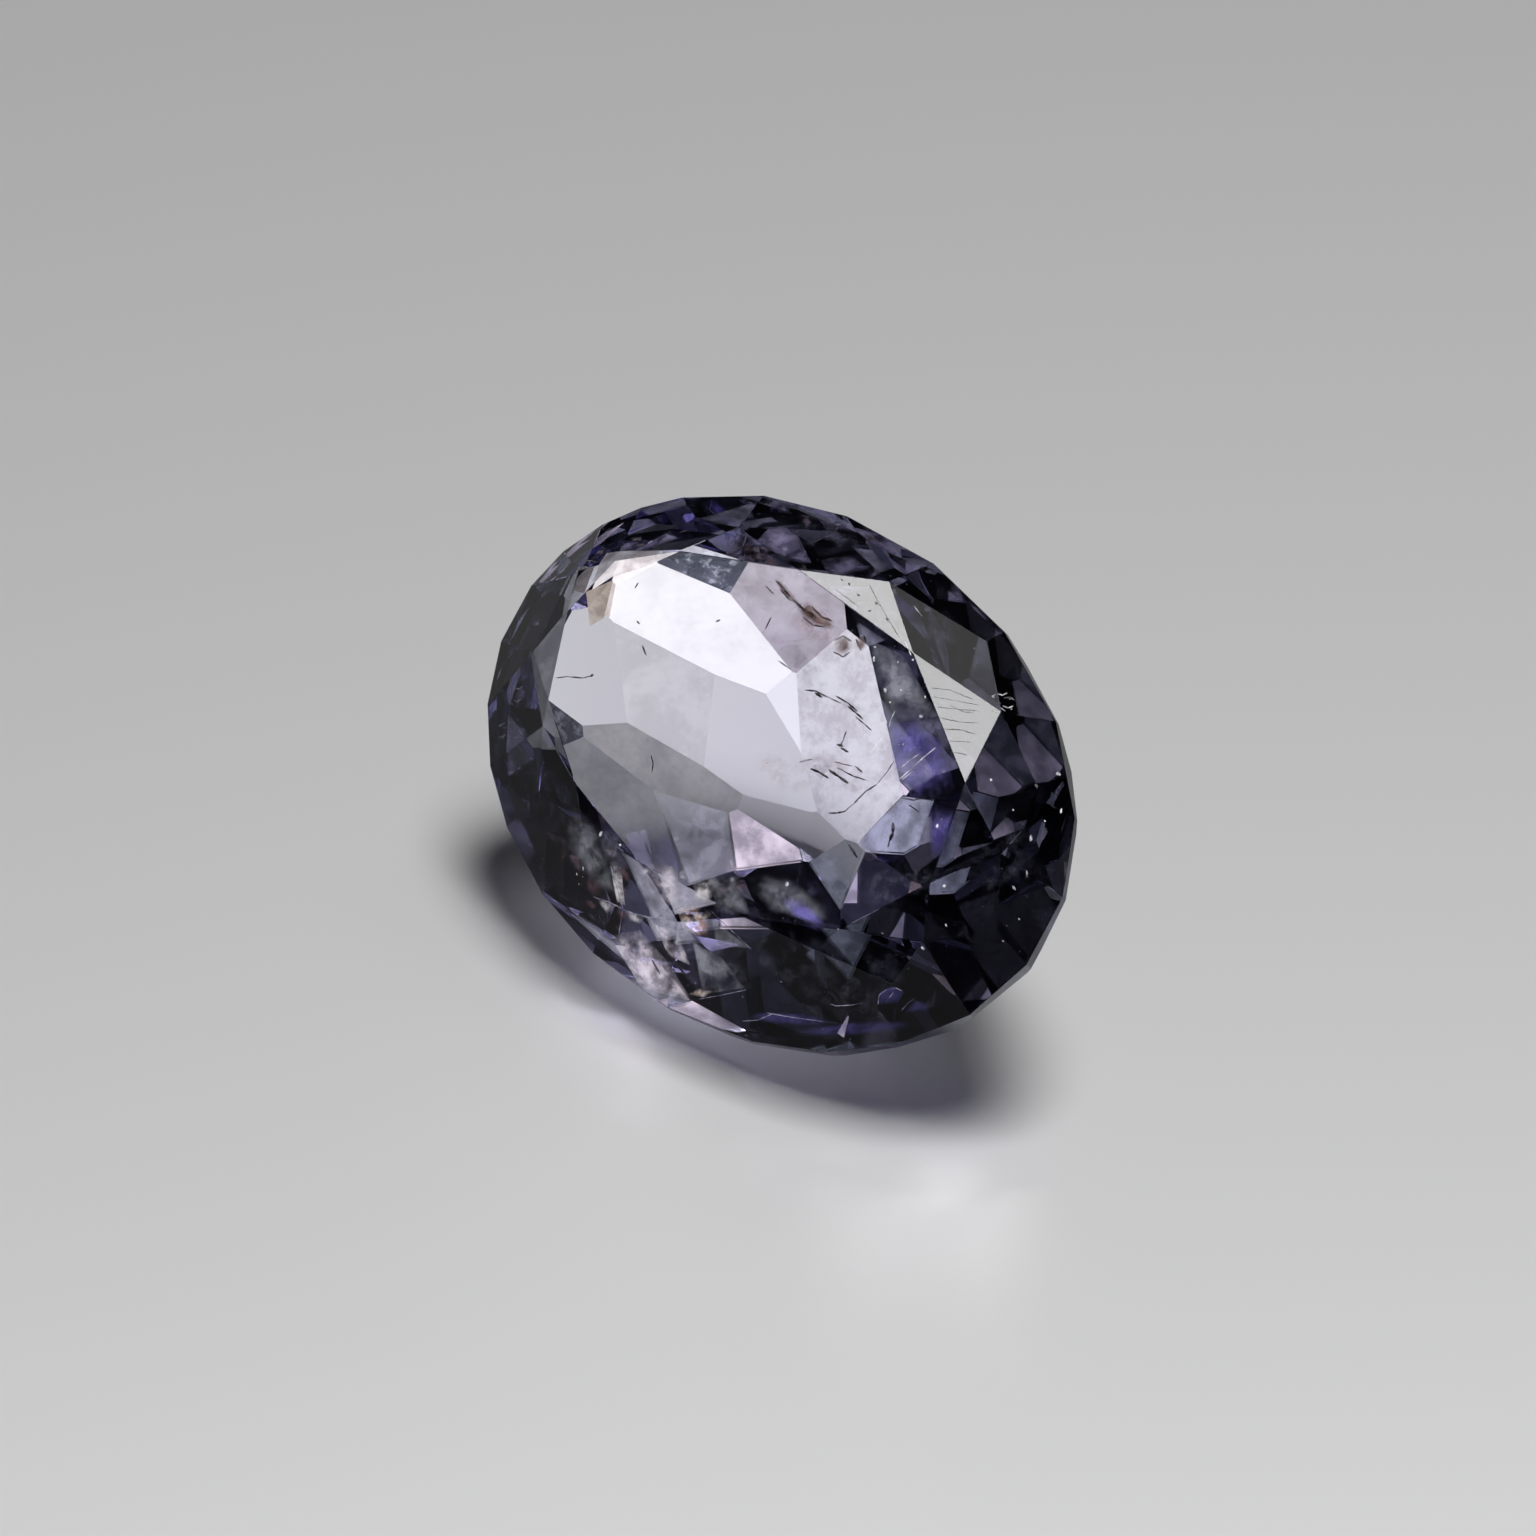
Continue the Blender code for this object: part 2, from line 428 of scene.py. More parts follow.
def shadeFacets(place):
    # clear, but for the named facets, which get painted shade in two tones each and are known by their
    # number
    number = markOn(place, "paintedShade")
    color = place.node("ShaderNodeRGB")
    color.socket.default_value = (1.0, 1.0, 1.0, 1.0)
    for order, paintedShade in enumerate(facetShades.values(), 1):
        here = place.node("ShaderNodeMath", {"operation": "COMPARE"}, {
            0: number,
            1: order,
            2: stoneLook["sameNumber"],
        })
        coarse = noiseOf(place, paintedShade["grain"])
        fine = noiseOf(place, paintedShade["grain"] * stoneLook["fineGrain"], detail=6.0, roughness=0.75)
        mottled = coarse * (1 - stoneLook["fineShare"]) + fine * stoneLook["fineShare"]
        share = between(mottled, *paintedShade["edges"])
        color = mixed(here, color, mixed(share, opaque(paintedShade["dark"]), opaque(paintedShade["light"])))
    return color


def shadeCrown(place):
    # painted shade on the crown: dark and mottled, and darkest around its shaded corner
    mottled = between(noiseOf(place, stoneLook["crownGrain"], detail=6.0), *stoneLook["crownEdges"])
    tint = mixed(mottled, opaque(stoneLook["crownShade"]), opaque(stoneLook["crownShadePaler"]))
    dark = 1 - awayFrom(place, stoneLook["shadedCorner"], stoneLook["shadeReach"])
    return mixed(dark, tint, opaque(stoneLook["deepestShade"]), way="MULTIPLY")


def scratchPolish(place, onCrown):
    # fine scratches that run one way, with pits between them
    stretched = place.node("ShaderNodeMapping", None, {
        "Vector": place,
        "Rotation": stoneLook["scratchTurn"],
        "Scale": stoneLook["scratchStretch"],
    })
    scratched = noiseOf(stretched, stoneLook["scratchGrain"], detail=2.0)
    pitted = noiseOf(place, stoneLook["pitGrain"], detail=1.0)
    height = scratched * (1 - stoneLook["pitShare"]) + pitted * stoneLook["pitShare"]
    return place.node("ShaderNodeBump", None, {
        "Height": height * spread(onCrown, stoneLook["pavilionShare"], 1),
        "Distance": stoneLook["scratchDepth"] * millimetre,
        "Strength": 1.0,
    })


def makeIolite():
    material, shader, wire = newMaterial("iolite")
    place = objectPlace(wire)
    onCrown = markOn(wire, "crown")
    girdle = markOn(wire, "girdle")
    # how much painted shade the crown and girdle get: none near the unshaded corner
    crownShadeShare = onCrown * awayFrom(place, stoneLook["unshadedCorner"], stoneLook["unshadedReach"])
    rubbed = between(noiseOf(place, stoneLook["polishGrain"]), *stoneLook["polishEdges"])
    polish = spread(rubbed, *stoneLook["polish"])
    setSockets(shader, {
        # painted shade: the named facets and the crown darken what is seen through them
        "Base Color": mixed(crownShadeShare, shadeFacets(place), shadeCrown(place)),
        "Roughness": polish * (1 - girdle) + girdle * stoneLook["groundGirdle"],
        "Normal": scratchPolish(place, onCrown),
        "IOR": stoneLook["index"],
        "Transmission Weight": 1.0,
    })
    addVolume(wire.tree)
    return material


cutStone = copyNode("stone", "cutStone")
mergeFacets(cutStone)
tableHeading = headingOfTable(cutStone)
stoneTree = treeOf(cutStone)
cutStone.data.materials.append(makeIolite())
wearCrown(cutStone, tableHeading)
markFacets(cutStone, tableHeading)
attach(cutStone, "root")
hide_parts("stone")
print("stone cut")


# inclusions and scratches

rodSides = 6
rodOverlap = 0.08  # share of its length that a rod runs on past each end
raggedSeed = 7


def finishPiece(piece, name, material):
    makeActive(piece)
    bpy.ops.object.transform_apply(location=True, rotation=True, scale=True)
    piece.name = name
    piece.data.name = name
    piece.data.materials.clear()
    piece.data.materials.append(material)
    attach(piece, "root")


def joined(pieces, name, material, ragged=0.0):
    # one piece made of these, with corners that stray up to so many mm
    deselectAll()
    for piece in pieces:
        piece.select_set(True)
    bpy.context.view_layer.objects.active = pieces[0]
    bpy.ops.object.join()
    if ragged:
        bpy.ops.object.mode_set(mode="EDIT")
        bpy.ops.mesh.select_all(action="SELECT")
        bpy.ops.transform.vertex_random(offset=ragged * millimetre, uniform=1.0, seed=raggedSeed)
        bpy.ops.object.mode_set(mode="OBJECT")
    finishPiece(bpy.context.object, name, material)


def axesAlong(along, facing):
    ahead = along.normalized()
    aside = facing.cross(ahead).normalized()
    return Matrix((aside, ahead.cross(aside), ahead)).transposed().to_4x4()


def shapeAt(middle, axes, sizes):
    # the primitive just added is 1 across, and gets this place, turn and size
    piece = bpy.context.object
    piece.matrix_world = Matrix.Translation(middle) @ axes @ Matrix.Diagonal((*sizes, 1))
    makeActive(piece)
    bpy.ops.object.transform_apply(location=True, rotation=True, scale=True)
    return piece


def addRod(start, end, facing, width, height):
    # a thin pointed rod, width across and height along the way it faces
    bpy.ops.mesh.primitive_uv_sphere_add(segments=rodSides, ring_count=rodSides, radius=0.5)
    return shapeAt((start + end) / 2, axesAlong(end - start, facing), (width, height, (end - start).length))


def addStroke(places, width, depth, height=None):
    # rods end to end through these places: below the surface, or lying on it where depth is 0
    rods = []
    wide = width * pixel
    high = wide if height is None else height
    for first, last in zip(places, places[1:]):
        start, facing = inStone(first, depth)
        end, facing = inStone(last, depth)
        overlap = (end - start) * rodOverlap
        rods.append(addRod(start - overlap, end + overlap, facing, wide, high))
    return rods


needles = {
    "color": (0.025, 0.018, 0.022, 1.0),
    "paler": (0.16, 0.13, 0.14, 1.0),
    "thickness": 0.72,  # all the widths below times this
    "ragged": 0.004,  # mm
    "strokes": [  # width in pixels, depth in mm, and the pixels that it runs through
        (1.6, 0.12, [(556, 678), (567, 676.5), (583, 678), (592, 675.5)]),
        (3.6, 0.12, [(590, 676.5), (593.5, 674.5)]),
        (2.4, 0.25, [(642.5, 646), (646, 655)]),
        (2.0, 0.30, [(635, 588), (638, 583)]),
        (1.6, 0.20, [(642, 557.5), (648, 556)]),
        (1.4, 0.20, [(626, 557), (636, 559)]),
        (3.0, 0.30, [(716, 621.5), (720, 620)]),
        (2.4, 0.40, [(637, 621), (639.5, 624)]),
        (2.0, 0.50, [(766, 628), (771, 617)]),
        (2.0, 0.50, [(779, 661), (790, 669)]),
        (2.6, 0.35, [(805, 690), (816, 691), (826, 697)]),
        (4.4, 0.35, [(815, 693), (822, 697)]),
        (1.8, 0.45, [(822, 694), (840, 703)]),
        (2.6, 0.30, [(836, 696), (848, 703), (857, 711)]),
        (2.8, 0.30, [(848, 706), (856, 713), (863, 719)]),
        (2.0, 0.30, [(856, 717), (863, 723), (871, 730)]),
        (2.4, 0.25, [(846, 732), (843, 741), (840, 746)]),
        (4.0, 0.25, [(837, 744.5), (843, 746)]),
        (3.2, 0.28, [(841, 748), (848, 752)]),
        (3.6, 0.40, [(811, 769), (819, 772), (828, 778)]),
        (4.6, 0.40, [(829, 770), (838, 776), (848, 783)]),
        (2.6, 0.40, [(855, 766), (862, 772)]),
        (1.8, 0.45, [(835, 762), (852, 766)]),
        (2.4, 0.25, [(855, 802), (866, 791), (876, 785)]),
        (1.4, 0.25, [(878, 783), (887, 772), (894, 761)]),
        (2.8, 0.30, [(829, 813), (837, 813), (846, 811)]),
        (1.4, 0.30, [(845, 811), (857, 801)]),
        (5.4, 0.30, [(893, 823), (893, 833), (890, 840)]),
        (2.6, 0.30, [(891, 836), (888, 847)]),
        (3.4, 0.50, [(902, 798), (914, 800), (926, 797)]),
        (2.0, 0.50, [(909, 805), (919, 812)]),
        (4.0, 0.60, [(849, 845), (857, 857)]),
        (1.8, 0.30, [(651, 755), (653, 763), (652, 772)]),
        (3.6, 0.35, [(856, 640), (861, 650)]),
        (3.0, 0.35, [(864, 636), (866, 643)]),
        (2.6, 0.02, [(894, 626), (899, 625)]),
        (4.0, 0.12, [(660, 945), (672, 958), (692, 985)]),
        (3.0, 0.12, [(652, 960), (660, 974)]),
    ],
}

rustStreaks = {
    "color": (0.085, 0.034, 0.022, 1.0),
    "paler": (0.24, 0.13, 0.10, 1.0),
    "thickness": 1.0,
    "ragged": 0.006,  # mm
    "strokes": [
        (2.4, 0.22, [(776, 581), (783, 588), (790, 597), (800, 606)]),
        (1.6, 0.24, [(781, 590), (791, 601)]),
        (3.2, 0.22, [(797, 604), (806, 611), (816, 617)]),
        (2.0, 0.26, [(812, 607), (822, 617), (832, 621)]),
        (1.6, 0.24, [(803, 617), (813, 625), (824, 627)]),
        (1.2, 0.28, [(766, 586), (773, 594)]),
        (2.2, 0.30, [(835, 640), (843, 636), (851, 641)]),
        (1.8, 0.30, [(834, 652), (843, 657), (850, 652)]),
        (1.4, 0.45, [(838, 768), (853, 776), (866, 780)]),
        (1.6, 0.45, [(800, 762), (812, 759)]),
    ],
}

polishLines = {
    "color": (0.24, 0.24, 0.26, 1.0),
    "paler": (0.42, 0.42, 0.44, 1.0),
    "thickness": 1.0,
    "ragged": 0.002,  # mm
    "strokes": [
        (0.9, 0.0, [(932, 688), (950, 690), (972, 699)]),
        (0.7, 0.0, [(934, 697), (958, 701), (978, 705)]),
        (0.9, 0.0, [(938, 707), (955, 709), (979, 711)]),
        (1.2, 0.0, [(951, 706), (965, 712), (973, 713)]),
        (0.7, 0.0, [(941, 718), (960, 722), (978, 723)]),
        (0.9, 0.0, [(945, 729), (962, 730), (975, 734)]),
        (0.7, 0.0, [(948, 741), (971, 742)]),
        (0.9, 0.0, [(952, 752), (968, 755)]),
        (0.7, 0.0, [(836, 590), (858, 606)]),
        (0.9, 0.0, [(870, 586), (884, 612), (899, 637)]),
        (1.8, 0.0, [(848, 583), (850, 585)]),
        (1.8, 0.0, [(857, 594), (860, 596)]),
        (2.2, 0.0, [(875, 602), (878, 604)]),
        (1.6, 0.0, [(868, 611), (871, 611)]),
        (1.8, 0.0, [(886, 618), (888, 621)]),
        (1.6, 0.0, [(841, 579), (843, 581)]),
        (1.4, 0.0, [(881, 630), (884, 631)]),
    ],
}

# pale scratches and chips on the table; their glow is painted light
scratches = {
    "color": (0.82, 0.82, 0.85, 1.0),
    "duller": (0.45, 0.45, 0.50, 1.0),
    "grain": 20.0,
    "glow": 0.55,
    "height": 0.006,  # mm, half of it stands above the polish
    "thickness": 0.7,  # all the widths below times this
    "ragged": 0.002,  # mm
    "strokes": [  # width in pixels, and the pixels that it runs through
        (1.2, [(902, 767), (910, 760), (919, 754)]),
        (1.6, [(901, 778), (912, 768), (924, 757), (935, 748)]),
        (1.0, [(903, 779), (913, 771)]),
        (1.8, [(889, 727), (891, 719), (895, 711)]),
        (1.4, [(884, 716), (887, 723)]),
        (1.6, [(872, 751), (878, 743), (884, 736)]),
        (1.2, [(850, 725), (855, 720), (859, 718)]),
        (1.8, [(914, 606), (917, 610), (922, 616)]),
        (1.6, [(992, 696), (998, 694), (1003, 695), (1007, 693)]),
        (1.4, [(1004, 698), (1010, 697), (1014, 700)]),
        (1.8, [(991, 711), (997, 712), (1001, 708), (1005, 711)]),
        (1.8, [(1003, 706), (1008, 708), (1013, 706)]),
        (1.4, [(905, 642), (908, 648), (911, 655)]),
    ],
}

# painted highlights: glowing strokes along crown edges and the lower rim
edgeGlints = {
    "color": (0.46, 0.43, 0.56, 1.0),
    "duller": (0.12, 0.11, 0.20, 1.0),
    "grain": 14.0,
    "glow": 0.5,
    "height": 0.006,  # mm
    "thickness": 0.7,
    "ragged": 0.002,  # mm
    "strokes": [
        (1.8, [(611, 867), (616, 884), (623, 909)]),
        (1.2, [(623, 909), (609, 902), (594, 897)]),
        (1.2, [(623, 909), (621, 921), (619, 933)]),
        (1.8, [(623, 909), (634, 914), (647, 917)]),
        (1.2, [(641, 861), (665, 880), (691, 902)]),
        (1.2, [(655, 919), (672, 911), (690, 903)]),
        (1.0, [(712, 912), (730, 929), (750, 948)]),
        (1.2, [(700, 999), (722, 995), (745, 990)]),
        (1.8, [(743, 1021), (758, 1020), (772, 1014)]),
        (1.6, [(768, 1013), (790, 1017), (812, 1020), (836, 1023)]),
        (1.4, [(823, 1001), (836, 1006), (852, 1005), (862, 1003)]),
        (1.4, [(878, 1004), (879, 995), (886, 990), (896, 988), (902, 991)]),
        (1.2, [(902, 1010), (908, 1003), (914, 999)]),
        (1.0, [(886, 1002), (893, 993)]),
    ],
}

specks = {
    "height": 0.008,  # mm
    "share": 0.9,  # all the sizes below times this
    "ragged": 0.005,  # mm
    "spots": [  # place, width and length in pixels, and turn in degrees
        (1058, 774, 5, 8, 60), (1036, 786, 4, 5, 20), (1061, 811, 3, 8, -20), (1031, 838, 4, 9, -15),
        (1027, 874, 3, 8, 10), (1014, 888, 3, 6, 40), (1013, 810, 2, 2, 0), (1019, 919, 2, 2, 0),
        (1003, 941, 2, 2, 0), (923, 948, 3, 5, 50), (882, 933, 2, 4, 80), (991, 780, 3, 3, 0),
        (1045, 821, 2, 3, 0), (944, 886, 4, 4, 30), (601, 834, 4, 7, -30), (583, 869, 3, 6, -20),
        (577, 874, 2, 3, 0), (620, 845, 3, 3, 0), (874, 659, 3, 7, 5), (885, 690, 4, 6, 20),
        (921, 716, 4, 5, 70), (903, 744, 2, 2, 0), (732, 879, 5, 5, 0), (787, 884, 5, 5, 0),
        (946, 925, 2, 4, 30), (898, 662, 2, 3, 0), (577, 571, 2, 3, 0), (937, 826, 3, 5, 0),
        (993, 697, 2, 4, 50), (1002, 695, 4, 2, 0), (1010, 699, 3, 2, 0), (998, 711, 5, 2, 20),
        (1006, 707, 3, 3, 0), (1011, 709, 4, 2, 0), (1000, 703, 2, 3, 40), (875, 647, 3, 2, 0),
        (890, 702, 3, 2, 30), (913, 660, 2, 2, 0), (925, 697, 2, 3, 0), (901, 690, 2, 2, 0),
    ],
}

# pale grains inside the stone; their glow is painted light
dust = {
    "color": (0.82, 0.82, 0.85, 1.0),
    "duller": (0.25, 0.25, 0.38, 1.0),
    "grain": 6.0,
    "glow": 0.28,
    "ragged": 0.002,  # mm
    "count": 110,
    "width": (0.5, 1.3),  # pixels
    "length": (1, 2.2),  # times the width
    "depth": (0.08, 0.5),  # mm
    "clouds": [  # middle of each, and its reach to either side and up and down, in pixels
        (1000, 860, 62, 130), (880, 960, 110, 70), (760, 1000, 110, 40), (880, 540, 110, 45),
        (545, 800, 40, 90), (925, 700, 45, 70), (1010, 640, 45, 80),
    ],
}

mineralLook = {
    "grain": 12.0,
    "edges": (0.35, 0.65),
    "roughness": (0.55, 0.75),  # in the dark of it and in the pale
    "cover": (0.95, 0.35),
}

glowLook = {
    "edges": (0.35, 0.65),
    "roughness": 0.6,
    "cover": (1.0, 0.15),  # where the colour is full and where it is duller
}


def makeMineral(name, color, paler):
    material, shader, wire = newMaterial(name)
    share = between(noiseOf(objectPlace(wire), mineralLook["grain"]), *mineralLook["edges"])
    setSockets(shader, {
        "Base Color": mixed(share, color, paler),
        "Roughness": spread(share, *mineralLook["roughness"]),
        "Alpha": spread(share, *mineralLook["cover"]),
    })
    return material


def makeGlowing(name, kind):
    # pale grains that scatter the light inside the stone: a faint glow stands for that light
    material, shader, wire = newGlow(name)
    share = between(noiseOf(objectPlace(wire), kind["grain"]), *glowLook["edges"])
    tone = mixed(share, kind["color"], kind["duller"])
    setGlow(shader, tone, glowLook["roughness"], spread(share, *glowLook["cover"]), kind["glow"])
    return material


def makeNeedles(name, kind):
    rods = []
    for width, depth, places in kind["strokes"]:
        rods += addStroke(places, width * kind["thickness"], depth)
    joined(rods, name, makeMineral(name, kind["color"], kind["paler"]), kind["ragged"])


def makeScratches(name, kind, material):
    rods = []
    for width, places in kind["strokes"]:
        rods += addStroke(places, width * kind["thickness"], 0.0, kind["height"] * millimetre)
    joined(rods, name, material, kind["ragged"])


def addSpot(place, depth, width, length, height, turn):
    # a small grain, turned by so many degrees from upright in the photograph
    middle, facing = inStone(place, depth)
    across, up, towards = cameraAxes()
    along = Matrix.Rotation(math.radians(turn), 3, facing) @ (up - facing * up.dot(facing))
    bpy.ops.mesh.primitive_ico_sphere_add(subdivisions=1, radius=0.5)
    return shapeAt(middle, axesAlong(along, facing), (width, height, length))


def makeSpecks(material):
    spots = []
    unit = pixel * specks["share"]
    height = specks["height"] * millimetre
    for across, down, width, length, turn in specks["spots"]:
        spots.append(addSpot((across, down), 0.0, width * unit, length * unit, height, turn))
    joined(spots, "pitsAndNicks", material, specks["ragged"])


def makeDust(material):
    grains = []
    while len(grains) < dust["count"]:
        across, down, wide, high = dust["clouds"][len(grains) % len(dust["clouds"])]
        place = (across + rng.uniform(-wide, wide), down + rng.uniform(-high, high))
        eye, ray = pixelRay(place)
        if stoneTree.ray_cast(eye, ray)[0] is None:
            continue
        width = rng.uniform(*dust["width"]) * pixel
        depth = rng.uniform(*dust["depth"])
        length = width * rng.uniform(*dust["length"])
        turn = rng.uniform(0, 180)
        grains.append(addSpot(place, depth, width, length, width, turn))
    joined(grains, "whiteDust", material, dust["ragged"])


makeNeedles("darkNeedles", needles)
makeNeedles("rustStreaks", rustStreaks)
makeNeedles("polishLines", polishLines)
# painted light: the scratches, chips and pits glow faintly, standing for the light they catch
chippedGlowMaterial = makeGlowing("chippedGlassGlow", scratches)
makeScratches("scratchesAndChips", scratches, chippedGlowMaterial)
makeScratches("edgeGlints", edgeGlints, makeGlowing("glint", edgeGlints))
makeSpecks(chippedGlowMaterial)
makeDust(makeGlowing("paleDustGlow", dust))
print("needles, scratches and specks made")


# patches of haze, stain, frost and glow below the surface, placed by the photograph; the glow of every
# patch is painted light

glowSheetLook = {
    "roughness": 0.7,
    "frayGrain": 0.6,  # times the grain of the patch
    "frayDepth": 0.6,  # how far the noise eats into the rim of the patch
    "frayEdges": (0.05, 0.75),
    "toneGrain": 1.7,  # times the grain of the patch
    "toneEdges": (0.38, 0.62),
    "gap": 0.02,  # mm, between a facet and the glowing sheet that paints light on it
}

patchLooks = {  # two tones, glow, how much it covers at most, and the grain and edges of its clouds
    "ironStain": {"color": (0.075, 0.038, 0.030), "second": (0.26, 0.16, 0.14), "glow": 0.40, "cover": 0.92,
                  "grain": 13.0, "edges": (0.28, 0.54)},
    "rosyCloud": {"color": (0.36, 0.27, 0.29), "second": (0.62, 0.52, 0.55), "glow": 0.55, "cover": 0.50,
                  "grain": 12.0, "edges": (0.42, 0.64)},
    "duskyCloud": {"color": (0.12, 0.10, 0.14), "second": (0.26, 0.24, 0.30), "glow": 0.30, "cover": 0.60,
                   "grain": 14.0, "edges": (0.44, 0.66)},
    "whiteFrost": {"color": (0.40, 0.38, 0.42), "second": (0.92, 0.88, 0.90), "glow": 0.62, "cover": 0.80,
                   "grain": 14.0, "edges": (0.38, 0.62)},
    "rosyFrost": {"color": (0.30, 0.27, 0.33), "second": (0.76, 0.69, 0.78), "glow": 0.90, "cover": 0.72,
                  "grain": 14.0, "edges": (0.28, 0.58)},
    "slateFrost": {"color": (0.14, 0.15, 0.17), "second": (0.30, 0.30, 0.35), "glow": 1.1, "cover": 0.65,
                   "grain": 12.0, "edges": (0.32, 0.62)},
    "amberSheen": {"color": (0.50, 0.30, 0.22), "second": (1.0, 0.92, 0.90), "glow": 0.70, "cover": 0.75,
                   "grain": 18.0, "edges": (0.36, 0.60)},
    "paleBand": {"color": (0.54, 0.49, 0.50), "second": (0.88, 0.83, 0.85), "glow": 0.92, "cover": 0.85,
                 "grain": 9.0, "edges": (0.10, 0.45)},
    "beigeBand": {"color": (0.24, 0.19, 0.16), "second": (0.44, 0.38, 0.34), "glow": 0.80, "cover": 0.85,
                  "grain": 9.0, "edges": (0.10, 0.45)},
    # painted light in violet, on the right of the table and along the lower rim
    "violetGlow": {"color": (0.050, 0.042, 0.18), "second": (0.17, 0.15, 0.46), "glow": 0.85, "cover": 0.78,
                   "grain": 8.0, "edges": (0.30, 0.64)},
    "greyFeather": {"color": (0.05, 0.05, 0.08), "second": (0.24, 0.24, 0.31), "glow": 0.45, "cover": 0.60,
                    "grain": 16.0, "edges": (0.44, 0.68)},
}

ovalCorners = 10


def oval(across, down, width, height, turn):
    # places around an ellipse, turned clockwise by so many degrees
    turned = math.radians(turn)
    places = []
    for step in range(ovalCorners):
        angle = step * math.tau / ovalCorners
        ahead = math.cos(angle) * width / 2
        aside = math.sin(angle) * height / 2
        places.append((across + ahead * math.cos(turned) - aside * math.sin(turned),
                       down + ahead * math.sin(turned) + aside * math.cos(turned)))
    return places


patches = [  # look, depth in mm, how dense the rim is beside the middle, and corners in pixels
    ("ironStain", 0.25, 0.0, oval(788, 594, 48, 10, 48)),
    ("ironStain", 0.20, 0.1, oval(786, 590, 36, 6, 52)),
    ("ironStain", 0.27, 0.0, oval(806, 609, 56, 18, 42)),
    ("ironStain", 0.22, 0.0, oval(820, 621, 34, 14, 24)),
    ("ironStain", 0.26, 0.0, oval(826, 624, 26, 10, 20)),
    ("ironStain", 0.30, 0.0, oval(843, 645, 24, 26, 0)),
    ("ironStain", 0.28, 0.1, oval(861, 643, 12, 20, 0)),
    ("rosyCloud", 0.45, 0.0, oval(815, 622, 80, 50, 35)),
    ("rosyCloud", 0.50, 0.0, oval(838, 776, 110, 46, 20)),
    ("rosyCloud", 0.55, 0.0, oval(782, 772, 70, 40, 30)),
    ("duskyCloud", 0.45, 0.0, oval(834, 696, 90, 24, 25)),
    ("duskyCloud", 0.60, 0.0, oval(828, 772, 64, 26, 25)),
    ("duskyCloud", 0.60, 0.0, oval(905, 806, 60, 26, 0)),
    ("duskyCloud", 0.50, 0.0, oval(800, 660, 60, 40, 40)),
    ("whiteFrost", 0.22, 0.1, [(690, 872), (716, 878), (712, 905), (694, 902)]),
    ("whiteFrost", 0.15, 0.5, [(610, 866), (621, 866), (625, 905), (617, 902)]),
    ("whiteFrost", 0.15, 0.2, [(594, 897), (618, 905), (607, 914)]),
    ("whiteFrost", 0.15, 0.2, [(624, 910), (647, 915), (640, 924), (630, 921)]),
    ("whiteFrost", 0.20, 0.0, oval(659, 888, 12, 10, 0)),
    ("whiteFrost", 0.20, 0.0, oval(683, 875, 10, 12, 0)),
    ("rosyFrost", 0.16, 0.5, [(615, 945), (650, 950), (690, 1000), (640, 990)]),
    ("rosyFrost", 0.18, 0.4, [(655, 925), (676, 930), (690, 965), (668, 955)]),
    ("rosyFrost", 0.30, 0.2, [(640, 862), (672, 866), (690, 900), (664, 908), (648, 890)]),
    ("slateFrost", 0.20, 0.5, [(712, 918), (750, 948), (716, 946)]),
    ("slateFrost", 0.16, 0.5, [(693, 942), (722, 958), (745, 988), (703, 994)]),
    ("slateFrost", 0.30, 0.1, [(700, 868), (738, 876), (750, 920), (716, 912)]),
    ("slateFrost", 0.25, 0.1, [(570, 800), (600, 830), (622, 905), (590, 880), (566, 845)]),
    ("amberSheen", 0.20, 0.2, [(676, 907), (700, 903), (712, 915), (706, 938), (684, 932)]),
    ("amberSheen", 0.12, 0.2, [(688, 994), (700, 988), (713, 991), (704, 998)]),
    ("paleBand", 0.12, 0.9, [(607, 553), (640, 551), (678, 552), (645, 567), (612, 577), (592, 590)]),
    ("beigeBand", 0.12, 0.9, [(586, 592), (613, 580), (604, 618), (590, 626)]),
    ("slateFrost", 0.55, 0.0, oval(790, 900, 100, 44, 28)),
    ("violetGlow", 0.40, 0.3, [(888, 722), (915, 722), (942, 742), (957, 793), (925, 797), (895, 780)]),
    ("violetGlow", 0.40, 0.1, [(925, 800), (955, 808), (950, 870), (930, 862)]),
    ("violetGlow", 0.50, 0.0, oval(803, 913, 66, 22, 36)),
    ("violetGlow", 0.15, 0.4, [(876, 1004), (880, 992), (893, 986), (904, 992), (898, 1003)]),
    ("violetGlow", 0.12, 0.3, [(905, 1012), (915, 1000), (932, 1005), (930, 1012)]),
    ("violetGlow", 0.12, 0.0, oval(790, 1019, 104, 14, 4)),
    ("violetGlow", 0.12, 0.0, oval(860, 1028, 150, 16, -4)),
    ("slateFrost", 0.30, 0.2, [(870, 640), (903, 655), (938, 716), (890, 724), (878, 690)]),
    ("duskyCloud", 0.22, 0.1, oval(912, 702, 40, 34, 40)),
    ("duskyCloud", 0.22, 0.1, oval(888, 668, 26, 34, 0)),
    ("rosyFrost", 0.22, 0.2, [(612, 935), (640, 930), (668, 962), (690, 998), (640, 988)]),
    ("greyFeather", 0.40, 0.0, oval(790, 960, 150, 80, 35)),
    ("greyFeather", 0.45, 0.0, oval(860, 980, 120, 80, -30)),
    ("greyFeather", 0.60, 0.0, oval(905, 890, 100, 80, 0)),
    ("greyFeather", 0.35, 0.0, oval(720, 970, 90, 50, 30)),
    ("greyFeather", 0.35, 0.0, oval(610, 860, 60, 90, -20)),
    ("greyFeather", 0.50, 0.0, oval(1000, 850, 90, 150, 0)),
    ("greyFeather", 0.35, 0.0, oval(940, 640, 60, 80, -35)),
    ("greyFeather", 0.35, 0.0, oval(820, 535, 140, 40, 10)),
    ("greyFeather", 0.35, 0.0, oval(552, 800, 44, 110, -15)),
]
